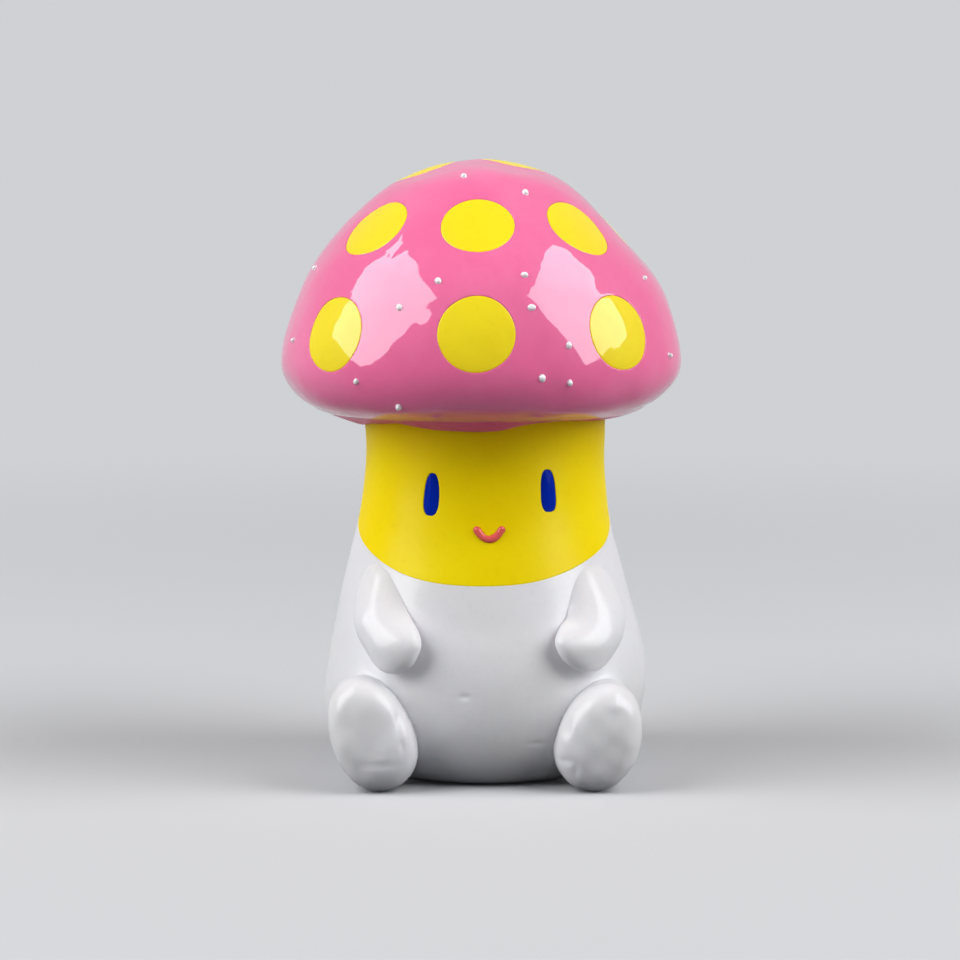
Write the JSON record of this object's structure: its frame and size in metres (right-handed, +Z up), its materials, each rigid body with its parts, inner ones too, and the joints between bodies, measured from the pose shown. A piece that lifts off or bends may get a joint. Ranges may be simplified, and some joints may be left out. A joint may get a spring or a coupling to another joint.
{
  "type": "mushroom figurine",
  "caption": "Seated mushroom doll figurine with a dotted dome cap on a stout stem, two arms and two feet; stands on a flat base as an ornament.",
  "frame": {"origin": "on the floor, under the middle of the cap, which is the middle of the figurine's outer box", "axes": "+Z up; the face, arms and feet look towards -Y; +X is to the right as seen from the front"},
  "size_m": [0.0798, 0.0803, 0.1211],
  "materials": {
    "pink_clay": "polymer clay under gloss varnish",
    "yellow_clay": "polymer clay under gloss varnish",
    "white_clay": "polymer clay under satin varnish",
    "blue_clay": "polymer clay under gloss varnish",
    "salmon_clay": "polymer clay, satin",
    "foil": "crumpled household foil",
    "dowel_wood": "bare wood"
  },
  "bodies": {
    "root": {"torso": "white_clay", "head": "yellow_clay", "cap": "pink_clay", "cap_underside": "pink_clay", "body_core": "foil", "cap_core": "foil", "neck_dowel": "dowel_wood", "eye_left": "blue_clay", "eye_right": "blue_clay", "mouth": "salmon_clay", "arm_left": "white_clay", "arm_right": "white_clay", "foot_left": "white_clay", "foot_right": "white_clay", "dot_low_1": "yellow_clay", "dot_low_2": "yellow_clay", "dot_low_3": "yellow_clay", "dot_low_4": "yellow_clay", "dot_low_5": "yellow_clay", "dot_low_6": "yellow_clay", "dot_low_7": "yellow_clay", "dot_high_1": "yellow_clay", "dot_high_2": "yellow_clay", "dot_high_3": "yellow_clay", "dot_high_4": "yellow_clay", "dot_high_5": "yellow_clay", "dot_high_6": "yellow_clay", "dot_high_7": "yellow_clay", "dot_top_1": "yellow_clay", "dot_top_2": "yellow_clay", "bead_01": "white_clay", "bead_02": "white_clay", "bead_03": "white_clay", "bead_04": "white_clay", "bead_05": "white_clay", "bead_06": "white_clay", "bead_07": "white_clay", "bead_08": "white_clay", "bead_09": "white_clay", "bead_10": "white_clay", "bead_11": "white_clay", "bead_12": "white_clay", "bead_13": "white_clay", "bead_14": "white_clay", "bead_15": "white_clay", "bead_16": "white_clay", "bead_17": "white_clay", "bead_18": "white_clay", "bead_19": "white_clay", "bead_20": "white_clay", "bead_21": "white_clay", "bead_22": "white_clay", "bead_23": "white_clay", "bead_24": "white_clay", "bead_25": "white_clay", "bead_26": "white_clay", "bead_27": "white_clay", "bead_28": "white_clay"}
  },
  "joints": []
}
